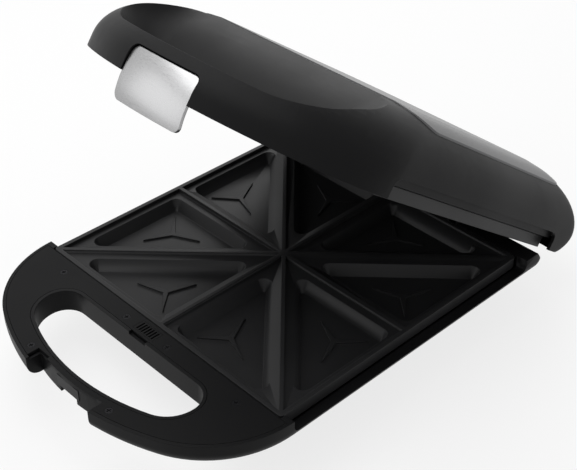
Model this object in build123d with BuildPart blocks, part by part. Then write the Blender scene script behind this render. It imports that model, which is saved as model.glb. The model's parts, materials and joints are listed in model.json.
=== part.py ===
from build123d import *
import math
import os

os.makedirs("parts", exist_ok=True)

# Frame
# X runs across, Y to the back and Z up. Heights are measured from the parting plane, where the
# two cooking plates meet when the lid is shut, and depths from the front edge of the plates.
# The lid's pieces are modelled shut and swung to the open rest pose before they are written.
foot_height = 6.0
tub_depth = 52.0
parting_height = foot_height + tub_depth
open_angle = 35.8

# Cooking plates
plate_width = 250.0
plate_depth = 245.0
plate_corner = 3.0
plate_skirt = 9.0
plate_gap = 0.6
ridge_height = 3.0
ridge_width = 3.0
rim_width = 3.5
pocket_inset = 8.0
pocket_corner = 6.5
pocket_depth = 9.0
pocket_wall = 3.0
pocket_draft = 28.0
star_ray = 24.0
star_width = 4.2
star_height = 1.4
plate_middle = plate_depth / 2
pocket_floor = ridge_height + pocket_depth
pocket_under = pocket_floor + pocket_wall

# Plate bosses and what hangs on them
boss_x = 67.0
boss_radius = 5.0
boss_y = boss_x * plate_depth / plate_width
plate_screw_radius = 2.0
plate_screw_head = 3.6
plate_screw_bite = 8.0

# Heater tubes
heater_radius = 3.25
heater_half = 62.0
heater_bend = 18.0
heater_tail_x = 14.0
heater_tail = 92.0
heater_seat = 0.1
heater_pin_radius = 1.1
heater_pin = 6.0
heater_drop = pocket_under + heater_seat + heater_radius

# Reflector sheets
reflector_half = 98.0
reflector_half_depth = 108.0
reflector_corner = 14.0
reflector_sheet = 0.8
reflector_lip = 4.0
reflector_window = 12.0
reflector_drop = heater_drop + heater_radius + heater_seat

# Base tray, the flat upper stage that carries the plate and the handle
wall = 2.5
tray_half = 134.0
tray_front = -89.5
tray_back = 274.0
tray_nose = 83.0
tray_bow = 208.0
tray_heel = 13.0
tray_thick = 18.0
tray_round = 10.5
back_top = 260.5
well_gap = 0.6
well_back_gap = 1.0
sill_drop = 10.0
sill_front = 3.5
sill_back = 247.0
sill_round = 5.0

# Base tub, the tapered lower stage
tub_top_half = 108.0
tub_top_front = 0.0
tub_top_back = 266.0
tub_floor_half = 90.0
tub_floor_front = 15.0
tub_floor_back = 262.0
tub_corner = 20.0

# Handle opening and deck cover
hole_half = 80.7
hole_front = -71.0
hole_back = -18.5
hole_nose = 25.0
hole_bow = 176.0
hole_heel = 16.5
hole_notch_half = 9.0
deck_sheet = 2.5
deck_seam = 0.35
deck_back = -1.2
deck_post_radius = 3.2
deck_screw_radius = 1.4
deck_screw_head = 2.8
deck_screw_head_deep = 1.4
deck_screw_long = 10.0
deck_screw_places = ((95.5, -12.0), (22.5, -10.0), (44.0, -76.0))
vent_half = 10.7
vent_front = -13.6
vent_back = -3.8
vent_flange = 1.1
vent_seam = 0.15
vent_slot = 1.3
vent_slots = 7
catch_notch_left = -38.0
catch_notch_right = -25.0
catch_notch_deep = 5.0

# Latch recess in the base front and the steel catch inside it
recess_half = 35.0
recess_gap = 0.9
hook_half = 8.0
hook_slot_gap = 1.0
catch_half = 12.0
catch_top = -4.0
catch_sheet = 1.0
catch_edge = -13.2

# Feet
front_foot_radius = 8.0
front_foot_x = 72.0
front_foot_y = 32.0
foot_stem_radius = 3.0
foot_chamfer = 1.0

# Hinge
hinge_back = 249.0
hinge_drop = 49.0
hinge_x = 62.0
arm_thick = 8.0
knuckle_radius = 5.5
pin_radius = 2.5
pin_play = 0.05
pin_head_radius = 4.0
pin_head = 1.2
washer_thick = 0.5
washer_play = 0.1
washer_radius = 5.0
ear_thick = 3.8
arm_front = 246.8
arm_rear = 258.0
arm_slot_gap = 1.0
arm_foot_height = 30.0
arm_foot_thick = 5.0
arm_foot_half = 9.5
arm_foot_front = 235.0
arm_foot_rear = 269.0
arm_screw_front = 240.5
arm_screw_rear = 263.5
arm_screw_radius = 2.0
arm_screw_head = 3.4
arm_screw_head_long = 2.2
arm_screw_bite = 9.0
bracket_front = 222.0
bracket_sheet = 3.0
bracket_screw_radius = 1.6
bracket_screw_head = 3.0
bracket_screw_head_deep = 1.2
bracket_screw_inset = 6.0
housing_half = 14.5
housing_wall = 2.2
housing_front = 239.5
housing_floor = 1.7

# Parts inside the tub
thermostat_radius = 9.0
thermostat_high = 12.0
thermostat_boss = 8.0
terminal_blade = 6.0
terminal_blade_x = 6.0
terminal_blade_wide = 4.0
terminal_blade_thick = 0.8
block_left = -38.0
block_right = -8.0
block_front = 196.0
block_back = 212.0
block_high = 12.0
block_screw_well = 2.4
wire_radius = 1.4
wire_bend = 5.0
wire_run_drop = 43.0
wire_turn_back = 233.0
wire_right = 38.0
fuse_radius = 3.6
fuse_half = 10.0
fuse_y = 178.0
gland_x = -20.0
gland_drop = 37.0
gland_bore = 3.6
gland_radius = 7.0
gland_flange = 9.5
gland_flange_thick = 2.5
gland_pad = 12.0
gland_pad_back = 266.0

# Lid shell
lid_half = 133.0
lid_nose_y = -85.0
lid_lip = 2.0
lid_top = 56.0
lid_side_round = 42.0
lid_nose_long = 85.0
lid_nose_high = 46.0
lid_back = 282.0
lid_back_round = 36.0
lid_heel_round = 22.0
lid_nose_radius = 85.0
lid_bow = 182.0
lid_heel = 12.0
lid_nose_growth_share = 0.04
lid_heel_growth_share = 0.7
lid_low_shares = (0.0, 0.19, 0.45, 0.73, 1.0)
lid_high_shares = (0.25, 0.45, 0.62, 0.76, 0.87, 0.95, 0.995)
rail_bottom = 10.5
rail_top = 19.0
rail_inner = 126.5
window_top = 16.3
window_front = 7.0
window_back = 246.0
window_inner = 129.0
window_round = 7.0

# Scoop, the finger bowl in front of the lid with its slot for the hand
slot_half = 72.0
slot_front = -65.0
slot_back = -25.0
slot_nose = 18.0
slot_heel = 11.0
scoop_low = 6.5
scoop_high = 57.5
scoop_half = 106.0
scoop_front = -100.0
scoop_back = 35.0
scoop_nose = 58.0
scoop_heel = 31.0
scoop_level_shares = (
    (0.0, 0.0, 0.0, 0.0),
    (0.2, 0.235, 0.17, 0.1),
    (0.43, 0.53, 0.31, 0.27),
    (0.65, 0.82, 0.71, 0.47),
    (0.82, 0.94, 1.0, 0.67),
    (1.0, 1.0, 1.0, 1.0),
)

# Steel panel on top of the lid
panel_half = 114.5
panel_front = 38.0
panel_corner_front = 40.0
panel_back = 250.0
panel_corner = 18.0
panel_back_corner = 7.0
panel_stand = 1.0
panel_sink = 0.6
panel_seam = 0.4
panel_base = 40.0

# Cover under the lid's nose
nose_cover_sheet = 2.5
nose_cover_back = -2.0
nose_cover_gap = 0.4
nose_screw_places = ((95.0, -22.0), (60.0, -64.5))

# Latch
latch_half = 31.7
latch_face = -84.0
latch_sheet = 2.2
latch_top = 20.5
latch_bottom = -16.5
latch_crown = 60.0
latch_bow = 178.0
latch_corner = 5.0
latch_gap = 0.5
latch_top_gap = 1.2
hook_high = 2.2
hook_reach = 2.8
pocket_half = 28.5
pocket_back = -72.9
pocket_top = 18.8
carrier_half = 24.0
carrier_low = 4.0
carrier_high = 15.5
carrier_thick = 3.0
carrier_gap = 0.1
barrel_radius = 2.7
latch_pivot_y = -76.3
latch_pivot = 13.0
latch_pin_radius = 1.5
spring_half = 6.0
spring_gap = 0.4
spring_radius = 2.5
cheek_thick = 4.0
brow_thick = 4.0
latch_sweep = 2.3
latch_pin_seat = 2.5

# Wires in the lid
clip_x = 40.0
clip_half = 5.0
clip_low = 38.0
lid_wire_height = 44.0

# Cross recess in every screw head
cross_long_share = 1.2
cross_wide_share = 0.28
cross_deep_share = 0.5

# Cuts run this far past the faces that they go through.
overrun = 3.0

# The origin sits under the middle of the whole object as it stands open.
open_turn = math.radians(open_angle)
crown_y = lid_back - lid_back_round
crown_z = lid_top - lid_back_round
crown_reach = (crown_y - hinge_back) * math.cos(open_turn) + (crown_z + hinge_drop) * math.sin(open_turn)
rear_reach = hinge_back + crown_reach + lid_back_round
front_reach = tray_front + tray_bow - math.sqrt(tray_bow**2 - recess_half**2)
plate_front = -(front_reach + rear_reach) / 2

arm_side = arm_thick / 2
ear_inner = arm_side + washer_thick + washer_play
ear_outer = ear_inner + ear_thick
front_foot_places = ((front_foot_x, front_foot_y), (-front_foot_x, front_foot_y))
boss_places = [(sx * boss_x, plate_middle + sy * boss_y) for sx in (-1, 1) for sy in (-1, 1)]

# The latch plate's crown carries the back of its upper and lower ends this far to the rear.
latch_core = latch_crown - latch_sheet
latch_sag = latch_core - math.sqrt(latch_core**2 - ((latch_top - latch_bottom) / 2) ** 2)
latch_rear = latch_face + latch_sheet + latch_sag


def level(height):
    """Level plane at a height over the parting plane, its origin at the plates' front edge."""
    return Plane((0, plate_front, parting_height + height))


def under(height):
    """Level plane that faces down: local x is X, local y runs to the front."""
    return Plane((0, plate_front, parting_height + height), x_dir=(1, 0, 0), z_dir=(0, 0, -1))


def across(x):
    """Upright plane square to X: local x runs to the back, local y runs up."""
    return Plane((x, plate_front, parting_height), x_dir=(0, 1, 0), z_dir=(1, 0, 0))


def facing_back(y):
    """Upright plane square to Y, facing the back: local x runs to the left, local y runs up."""
    return Plane((0, plate_front + y, parting_height), x_dir=(-1, 0, 0), z_dir=(0, 1, 0))


def outline(half, front, back, nose, bow, heel):
    """Plan face with a bowed front, a nose arc at each side and rounded back corners."""
    bow_y = front + bow
    nose_x = half - nose
    nose_y = bow_y - math.sqrt((bow - nose) ** 2 - nose_x**2)
    turn = math.atan2(bow_y - nose_y, nose_x)
    brow_turn = (math.pi / 2 - turn) / 2
    join = (bow * math.cos(turn), bow_y - bow * math.sin(turn))
    brow = (bow * math.sin(brow_turn), bow_y - bow * math.cos(brow_turn))
    bend = (nose_x + nose * math.cos(turn / 2), nose_y - nose * math.sin(turn / 2))
    heel_cut = heel * (1 - math.cos(math.pi / 4))
    with BuildLine() as edge:
        ThreePointArc((0, front), brow, join)
        ThreePointArc(join, bend, (half, nose_y))
        Line((half, nose_y), (half, back - heel))
        ThreePointArc((half, back - heel), (half - heel_cut, back - heel_cut), (half - heel, back))
        Line((half - heel, back), (0, back))
        mirror(about=Plane.YZ)
    make_face(edge.edges())


def block(left, right, front, back, low, high):
    """Box between two places along each axis."""
    with BuildPart() as form:
        with BuildSketch(level(low)):
            with Locations(((left + right) / 2, (front + back) / 2)):
                Rectangle(right - left, back - front)
        extrude(amount=high - low)
    return form.part


def post(places, radius, low, high):
    """Round posts at plan places, from one height to another."""
    with BuildPart() as form:
        with BuildSketch(level(low)):
            with Locations(*places):
                Circle(radius)
        extrude(amount=high - low)
    return form.part


def swung(part):
    """The lid's piece turned about the hinge from shut to the open rest pose."""
    pivot = (0, plate_front + hinge_back, parting_height - hinge_drop)
    home = (0, -pivot[1], -pivot[2])
    return Location(pivot) * Location((0, 0, 0), (-open_angle, 0, 0)) * Location(home) * part


def write(part, name):
    """Label a finished piece and write its file."""
    part.label = name
    export_step(part, f"parts/{name}.step")


def both_sides(places):
    """Plan places and their mirror images across the middle."""
    return [(side * x, y) for x, y in places for side in (-1, 1)]


# Cooking plate
# Eight triangular pockets lie between the ridges of the sides, middles and diagonals.
pocket_corners = []
for sx in (-1, 1):
    for sy in (-1, 1):
        corner = (sx * plate_width / 2, sy * plate_depth / 2)
        pocket_corners.append(((0, 0), (sx * plate_width / 2, 0), corner))
        pocket_corners.append(((0, 0), (0, sy * plate_depth / 2), corner))


def pocket_face(corners, grow):
    """One pocket's mouth, drawn in from the ridges around it and rounded at its corners."""
    moved = [(x, y + plate_middle) for x, y in corners]
    Polygon(*moved, align=None)
    offset(amount=-pocket_inset, kind=Kind.INTERSECTION, mode=Mode.REPLACE)
    corners_now = vertices()
    fillet(corners_now, radius=pocket_corner)
    if grow:
        offset(amount=grow, kind=Kind.ARC, mode=Mode.REPLACE)


def star_centre(corners):
    """Middle of the pocket's floor, where the star's rays meet."""
    a, b, c = (Vector(x, y) for x, y in corners)
    side_a, side_b, side_c = (b - c).length, (c - a).length, (a - b).length
    return (a * side_a + b * side_b + c * side_c) / (side_a + side_b + side_c)


def make_plate():
    """The lower plate: ridges up, pockets sunk, bosses below."""
    with BuildPart() as plate:
        with BuildSketch(level(-plate_skirt)):
            with Locations((0, plate_middle)):
                RectangleRounded(plate_width, plate_depth, plate_corner)
        extrude(amount=plate_skirt)
        with BuildSketch(level(-ridge_height)):
            with Locations((0, plate_middle)):
                Rectangle(plate_width - 2 * rim_width, plate_depth - 2 * rim_width)
                Rectangle(ridge_width, plate_depth, mode=Mode.SUBTRACT)
                Rectangle(plate_width, ridge_width, mode=Mode.SUBTRACT)
                diagonal = math.hypot(plate_width, plate_depth)
                lean = math.degrees(math.atan2(plate_depth, plate_width))
                Rectangle(diagonal, ridge_width, rotation=lean, mode=Mode.SUBTRACT)
                Rectangle(diagonal, ridge_width, rotation=-lean, mode=Mode.SUBTRACT)
        extrude(amount=ridge_height + overrun, mode=Mode.SUBTRACT)
        for corners in pocket_corners:
            with BuildSketch(level(-ridge_height)):
                pocket_face(corners, pocket_wall)
            extrude(amount=-(pocket_depth + pocket_wall), taper=pocket_draft)
        for corners in pocket_corners:
            with BuildSketch(level(-ridge_height)):
                pocket_face(corners, 0)
            extrude(amount=-pocket_depth, taper=pocket_draft, mode=Mode.SUBTRACT)
            middle = star_centre(corners)
            with BuildSketch(level(-pocket_floor)):
                with Locations((middle.X, middle.Y + plate_middle)):
                    for x, y in corners:
                        turn = math.degrees(math.atan2(y - middle.Y, x - middle.X))
                        ray = [(0, -star_width / 2), (star_ray, 0), (0, star_width / 2)]
                        Polygon(*ray, align=None, rotation=turn)
            extrude(amount=star_height)
        with BuildSketch(level(-plate_skirt)):
            with Locations(*boss_places):
                Circle(boss_radius)
            with Locations((0, plate_middle)):
                Circle(thermostat_boss)
        extrude(amount=-(pocket_under - plate_skirt))
        with BuildSketch(level(-pocket_under)):
            with Locations(*boss_places):
                Circle(boss_radius)
        extrude(amount=-(reflector_drop - pocket_under))
        with BuildSketch(level(-reflector_drop)):
            with Locations(*boss_places):
                Circle(plate_screw_radius)
        extrude(amount=plate_screw_bite, mode=Mode.SUBTRACT)
    return plate.part


def make_heater():
    """A rod heater bent round under the pockets, with two tails to the back."""
    low = plate_middle - heater_half
    high = plate_middle + heater_half
    tail_end = plate_middle + heater_tail
    turns = (
        (-heater_tail_x, tail_end),
        (-heater_tail_x, high),
        (-heater_half, high),
        (-heater_half, low),
        (heater_half, low),
        (heater_half, high),
        (heater_tail_x, high),
        (heater_tail_x, tail_end),
    )
    with BuildPart() as heater:
        with BuildLine(level(-heater_drop)):
            FilletPolyline(*turns, radius=heater_bend)
        with BuildSketch(Plane(facing_back(tail_end).location * Location((heater_tail_x, -heater_drop)))):
            Circle(heater_radius)
        sweep()
        with BuildSketch(facing_back(tail_end)):
            with Locations((heater_tail_x, -heater_drop), (-heater_tail_x, -heater_drop)):
                Circle(heater_pin_radius)
        extrude(amount=heater_pin)
    return heater.part


def make_reflector():
    """A shallow sheet pan under the heater, with holes for the screws and the thermostat."""
    with BuildPart() as pan:
        with BuildSketch(level(-reflector_drop - reflector_sheet)):
            with Locations((0, plate_middle)):
                RectangleRounded(2 * reflector_half, 2 * reflector_half_depth, reflector_corner)
        extrude(amount=reflector_lip + reflector_sheet)
        with BuildSketch(level(-reflector_drop)):
            with Locations((0, plate_middle)):
                RectangleRounded(
                    2 * (reflector_half - reflector_sheet),
                    2 * (reflector_half_depth - reflector_sheet),
                    reflector_corner - reflector_sheet,
                )
        extrude(amount=reflector_lip + overrun, mode=Mode.SUBTRACT)
        with BuildSketch(level(-reflector_drop)):
            with Locations((0, plate_middle)):
                Circle(reflector_window)
            with Locations(*boss_places):
                Circle(plate_screw_radius)
        extrude(amount=-(reflector_sheet + overrun), mode=Mode.SUBTRACT)
        notch_half = heater_tail_x + 2 * wire_radius
        rear = plate_middle + reflector_half_depth
        notch = block(-notch_half, notch_half, rear - overrun, rear + overrun, -reflector_drop, 0)
        add(notch, mode=Mode.SUBTRACT)
    return pan.part


# Lower plate stack
lower_plate = make_plate()
write(lower_plate, "lower_plate")
lower_heater = make_heater()
write(lower_heater, "lower_heater")
lower_reflector = make_reflector()
write(lower_reflector, "lower_reflector")

# Thermostat pressed on the boss in the middle of the lower plate
thermostat_end = -pocket_under - thermostat_high
with BuildPart() as thermostat:
    with BuildSketch(level(-pocket_under)):
        with Locations((0, plate_middle)):
            Circle(thermostat_radius)
    extrude(amount=-thermostat_high)
    fillet(thermostat.edges().filter_by(GeomType.CIRCLE).sort_by(Axis.Z)[0], radius=terminal_blade_thick)
    with BuildSketch(level(thermostat_end)):
        with Locations((-terminal_blade_x, plate_middle), (terminal_blade_x, plate_middle)):
            Rectangle(terminal_blade_thick, terminal_blade_wide)
    extrude(amount=-terminal_blade)
write(thermostat.part, "thermostat")

# Base shell
# The tray and the tub are one moulding. Its inside is made first, with the posts and walls that
# stand in it left out, and then cut from the outer form.
post_top = -reflector_drop - reflector_sheet
tub_floor = -tub_depth
tray_floor = -tray_thick


def tray_form(inset, low, bottom_round):
    """The tray's outer form, or its inside when it is inset."""
    with BuildPart() as form:
        with BuildSketch(level(low)):
            outline(
                tray_half - inset,
                tray_front + inset,
                tray_back - inset,
                tray_nose - inset,
                tray_bow - inset,
                tray_heel - inset,
            )
        extrude(amount=-low)
        fillet(form.faces().sort_by(Axis.Z)[0].edges(), radius=bottom_round)
    return form.part


def tub_form(inset, low, high):
    """The tub's tapered form, or its inside when it is inset."""
    with BuildPart() as form:
        for height, half, front, back in (
            (low, tub_floor_half, tub_floor_front, tub_floor_back),
            (high, tub_top_half, tub_top_front, tub_top_back),
        ):
            with BuildSketch(level(height)):
                with Locations((0, (front + back) / 2)):
                    RectangleRounded(2 * (half - inset), back - front - 2 * inset, tub_corner - inset)
        loft(ruled=True)
    return form.part


def hole_form(grow, low, high):
    """The handle opening, or the tube wall round it when it is grown."""
    with BuildPart() as form:
        with BuildSketch(level(low)):
            outline(
                hole_half + grow,
                hole_front - grow,
                hole_back + grow,
                hole_nose + grow,
                hole_bow + grow,
                hole_heel + grow,
            )
        extrude(amount=high - low)
    return form.part


def recess_form(grow, low, high):
    """The latch's recess in the front: its floor follows the bow of the latch."""
    floor = latch_rear + recess_gap + grow
    with BuildPart() as form:
        with BuildSketch(level(low)):
            with BuildLine():
                half = recess_half + grow
                sag = latch_bow - math.sqrt(latch_bow**2 - half**2)
                left = (-half, floor + sag)
                right = (half, floor + sag)
                ThreePointArc(left, (0, floor), right)
                Line(right, (half, tray_front - overrun))
                Line((half, tray_front - overrun), (-half, tray_front - overrun))
                Line((-half, tray_front - overrun), left)
            make_face()
        extrude(amount=high - low)
    return form.part


tray_outer = tray_form(0, tray_floor, tray_round)
tray_inner = tray_form(wall, tray_floor + wall, tray_round - wall)
tub_outer = tub_form(0, tub_floor, tray_floor + wall)
tub_inner = tub_form(wall, tub_floor + wall, tray_floor + wall)
hole_wall = hole_form(wall, tray_floor - overrun, overrun)
hole_cut = hole_form(0, tray_floor - overrun, overrun)
recess_wall = recess_form(wall, tray_floor - overrun, overrun)
recess_cut = recess_form(0, tray_floor - overrun, overrun)

deck_posts = both_sides(deck_screw_places)
well_half = plate_width / 2 + well_gap
well_rear = plate_depth + well_back_gap
housing_low = -(hinge_drop + knuckle_radius + pin_play + housing_floor)
housing_well = -(hinge_drop + knuckle_radius + pin_play)
gland_wall = gland_pad_back - tub_floor_back + 2 * wall

with BuildPart() as handle_hollow:
    add(tray_inner)
    add(block(-tray_half, tray_half, -wall, tray_back, tray_floor, overrun), mode=Mode.SUBTRACT)
    add(hole_wall, mode=Mode.SUBTRACT)
    add(recess_wall, mode=Mode.SUBTRACT)
    add(post(deck_posts, deck_post_radius, tray_floor, -deck_sheet), mode=Mode.SUBTRACT)

with BuildPart() as tub_hollow:
    add(tub_inner)
    add(block(-well_half, well_half, -well_gap, well_rear, tray_floor + wall, overrun))
    rear_half = tray_half - tray_round
    rear_end = back_top - wall
    add(block(-rear_half, rear_half, well_rear, rear_end, tray_floor + wall, -wall))
    add(post(boss_places, boss_radius, tub_floor, post_top), mode=Mode.SUBTRACT)
    gland_inner = gland_pad_back - gland_wall
    gland_low = -gland_drop - gland_pad
    gland_high = -gland_drop + gland_pad
    gland_left = gland_x - gland_pad
    gland_right = gland_x + gland_pad
    pad = block(gland_left, gland_right, gland_inner, tray_back, gland_low, gland_high)
    add(pad, mode=Mode.SUBTRACT)

# The deck cover drops into a seat that runs over the walls and posts.
with BuildPart() as deck_seat:
    with BuildSketch(level(-deck_sheet)):
        outline(
            tray_half - wall,
            tray_front + wall,
            tray_back - wall,
            tray_nose - wall,
            tray_bow - wall,
            tray_heel - wall,
        )
    extrude(amount=deck_sheet + overrun)
    seat_end = deck_back + deck_seam
    add(block(-tray_half, tray_half, seat_end, tray_back, -deck_sheet, 2 * overrun), mode=Mode.SUBTRACT)
    add(hole_wall, mode=Mode.SUBTRACT)
    notch_back = hole_back + wall + deck_seam
    add(block(-hole_notch_half, hole_notch_half, hole_front / 2, notch_back, -deck_sheet, overrun))

bracket_screw_places = [
    (side * hinge_x, y)
    for side in (-1, 1)
    for y in (bracket_front + bracket_screw_inset, housing_front - bracket_screw_inset / 2)
]

with BuildPart() as base_shell:
    add(tray_outer)
    add(tub_outer)
    for side in (-1, 1):
        near = side * hinge_x - housing_half
        far = side * hinge_x + housing_half
        add(block(near, far, housing_front, tub_floor_back, housing_low, tub_floor + wall))
    add(block(gland_left, gland_right, gland_inner, gland_pad_back, gland_low, gland_high))
    add(handle_hollow.part, mode=Mode.SUBTRACT)
    add(tub_hollow.part, mode=Mode.SUBTRACT)
    add(hole_cut, mode=Mode.SUBTRACT)
    add(recess_cut, mode=Mode.SUBTRACT)
    # The back slopes out from its top edge.
    with BuildSketch(across(-tray_half - overrun)):
        Polygon(
            (back_top, 0),
            (tray_back, tray_floor),
            (tray_back + overrun, tray_floor),
            (tray_back + overrun, overrun),
            (back_top, overrun),
            align=None,
        )
    extrude(amount=2 * (tray_half + overrun), mode=Mode.SUBTRACT)
    # A lowered sill runs beside the plate, rounded up at its front end.
    for side in (-1, 1):
        with BuildSketch(across(side * (plate_width / 2 + well_gap))):
            with BuildLine():
                FilletPolyline(
                    (sill_front, overrun),
                    (sill_front, -sill_drop),
                    (sill_back, -sill_drop),
                    (sill_back, overrun),
                    radius=sill_round,
                )
                Line((sill_back, overrun), (sill_front, overrun))
            make_face()
        extrude(amount=side * (tray_half - plate_width / 2), mode=Mode.SUBTRACT)
    # Slots for the hinge arms run down the back, and a well in each housing takes the knuckle.
    for side in (-1, 1):
        slot_half_width = arm_side + arm_slot_gap
        middle = side * hinge_x
        slot_left = middle - slot_half_width
        slot_right = middle + slot_half_width
        add(
            block(slot_left, slot_right, well_rear, tray_back + overrun, housing_well, overrun),
            mode=Mode.SUBTRACT,
        )
        well_side = housing_half - housing_wall
        add(
            block(
                middle - well_side,
                middle + well_side,
                housing_front + housing_wall,
                tub_floor_back - wall,
                housing_well,
                tub_floor + wall + heater_seat,
            ),
            mode=Mode.SUBTRACT,
        )
    # Screw holes and their head wells, seen from below.
    with BuildSketch(level(tub_floor)):
        with Locations(*boss_places):
            Circle(plate_screw_radius)
    extrude(amount=tub_depth, mode=Mode.SUBTRACT)
    screw_well = (tub_depth + post_top) / 2
    with BuildSketch(level(tub_floor)):
        with Locations(*boss_places):
            Circle(plate_screw_head + deck_seam)
    extrude(amount=screw_well, mode=Mode.SUBTRACT)
    add(deck_seat.part, mode=Mode.SUBTRACT)
    with BuildSketch(level(-deck_sheet)):
        with Locations(*deck_posts):
            Circle(deck_screw_radius)
    extrude(amount=-(deck_screw_long - deck_sheet), mode=Mode.SUBTRACT)
    with BuildSketch(level(tub_floor)):
        with Locations(*bracket_screw_places):
            Circle(bracket_screw_radius)
    extrude(amount=wall, mode=Mode.SUBTRACT)
    with BuildSketch(level(tub_floor)):
        with Locations(*bracket_screw_places):
            Circle(bracket_screw_head + vent_seam)
    extrude(amount=bracket_screw_head_deep, mode=Mode.SUBTRACT)
    with BuildSketch(level(tub_floor)):
        with Locations(*front_foot_places):
            Circle(foot_stem_radius)
    extrude(amount=wall, mode=Mode.SUBTRACT)
    # The catch's hook slot opens through the floor of the recess.
    slot_side = hook_half + hook_slot_gap
    hook_end = latch_rear + hook_reach + hook_slot_gap
    add(
        block(-slot_side, slot_side, tray_front, hook_end, tray_floor - overrun, catch_edge),
        mode=Mode.SUBTRACT,
    )
    catch_back = latch_rear + recess_gap + catch_sheet
    add(
        block(-catch_half, catch_half, tray_front, catch_back, catch_edge, catch_top),
        mode=Mode.SUBTRACT,
    )
    with BuildSketch(facing_back(gland_inner)):
        with Locations((-gland_x, -gland_drop)):
            Circle(gland_radius)
    extrude(amount=gland_wall + overrun, mode=Mode.SUBTRACT)
write(base_shell.part, "base_shell")

# Deck cover over the handle, with a vent insert and its screws
with BuildPart() as deck_cover:
    inset = wall + deck_seam
    with BuildSketch(level(-deck_sheet)):
        outline(
            tray_half - inset,
            tray_front + inset,
            tray_back - inset,
            tray_nose - inset,
            tray_bow - inset,
            tray_heel - inset,
        )
    extrude(amount=deck_sheet)
    add(block(-tray_half, tray_half, deck_back, tray_back, -deck_sheet - overrun, overrun), mode=Mode.SUBTRACT)
    add(hole_form(wall + deck_seam, -deck_sheet - overrun, overrun), mode=Mode.SUBTRACT)
    add(recess_form(0, -deck_sheet - overrun, overrun), mode=Mode.SUBTRACT)
    catch_notch_end = latch_rear + catch_notch_deep
    add(
        block(
            catch_notch_left,
            catch_notch_right,
            tray_front,
            catch_notch_end,
            -deck_sheet - overrun,
            overrun,
        ),
        mode=Mode.SUBTRACT,
    )
    vent_grow = vent_seam
    add(
        block(
            -vent_half - vent_grow,
            vent_half + vent_grow,
            vent_front - vent_grow,
            vent_back + vent_grow,
            -deck_sheet - overrun,
            overrun,
        ),
        mode=Mode.SUBTRACT,
    )
    with Locations(*[level(0) * Location((x, y, 0)) for x, y in deck_posts]):
        CounterBoreHole(
            radius=deck_screw_radius,
            counter_bore_radius=deck_screw_head + vent_seam,
            counter_bore_depth=deck_screw_head_deep,
            depth=deck_sheet,
        )
write(deck_cover.part, "deck_cover")

with BuildPart() as deck_vent:
    vent_middle = (vent_front + vent_back) / 2
    vent_deep = vent_back - vent_front
    with BuildSketch(level(-deck_sheet)):
        with Locations((0, vent_middle)):
            Rectangle(2 * vent_half, vent_deep)
    extrude(amount=deck_sheet)
    with BuildSketch(level(-deck_sheet)):
        with Locations((0, vent_middle)):
            Rectangle(2 * (vent_half + vent_flange), vent_deep + 2 * vent_flange)
    extrude(amount=-vent_flange)
    with BuildSketch(level(-deck_sheet - vent_flange)):
        with Locations((0, vent_middle)):
            with GridLocations(2 * vent_half / (vent_slots + 1), 0, vent_slots, 1):
                Rectangle(vent_slot, vent_deep - 2 * vent_flange)
    extrude(amount=deck_sheet + vent_flange, mode=Mode.SUBTRACT)
write(deck_vent.part, "deck_vent")


def screw(places, head_plane_height, head_radius, head_long, shaft_radius, shaft_end):
    """Round-headed screws: the head's flat starts at one height and the shaft ends at another."""
    towards = 1 if shaft_end > head_plane_height else -1
    with BuildPart() as form:
        with BuildSketch(level(head_plane_height)):
            with Locations(*places):
                Circle(head_radius)
        extrude(amount=towards * head_long)
        with BuildSketch(level(head_plane_height + towards * head_long)):
            with Locations(*places):
                Circle(shaft_radius)
        extrude(amount=shaft_end - head_plane_height - towards * head_long)
        for x, y in places:
            with BuildSketch(level(head_plane_height)):
                with Locations((x, y)):
                    Rectangle(head_radius * cross_long_share, head_radius * cross_wide_share)
                    Rectangle(head_radius * cross_wide_share, head_radius * cross_long_share)
            extrude(amount=towards * head_long * cross_deep_share, mode=Mode.SUBTRACT)
    return form.part


deck_screws = screw(deck_posts, 0, deck_screw_head, deck_screw_head_deep, deck_screw_radius, -deck_screw_long)
write(deck_screws, "deck_screws")

screw_seat = tub_floor + screw_well
screw_tip = -reflector_drop + plate_screw_bite
lower_plate_screws = screw(
    boss_places,
    screw_seat - bracket_sheet,
    plate_screw_head,
    bracket_sheet,
    plate_screw_radius,
    screw_tip,
)
write(lower_plate_screws, "lower_plate_screws")

# Steel catch that the latch's lip hooks under
with BuildPart() as latch_catch:
    floor = latch_rear + recess_gap
    add(block(-catch_half, catch_half, floor, catch_back, catch_edge, catch_top))
write(latch_catch.part, "latch_catch")

# Feet: two round ones in front, and a pad under each hinge housing at the back
pad_top = housing_low
with BuildPart() as rubber_feet:
    with BuildSketch(level(-parting_height)):
        with Locations(*front_foot_places):
            Circle(front_foot_radius)
    extrude(amount=foot_height)
    chamfer(rubber_feet.edges().group_by(Axis.Z)[0], length=foot_chamfer)
    with BuildSketch(level(tub_floor)):
        with Locations(*front_foot_places):
            Circle(foot_stem_radius)
    extrude(amount=wall)
    for side in (-1, 1):
        with BuildSketch(level(-parting_height)):
            with Locations((side * hinge_x, (housing_front + tub_floor_back) / 2)):
                RectangleRounded(
                    2 * (housing_half - housing_wall),
                    tub_floor_back - housing_front - 2 * housing_wall,
                    housing_wall,
                )
        extrude(amount=pad_top + parting_height)
write(rubber_feet.part, "rubber_feet")

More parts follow.
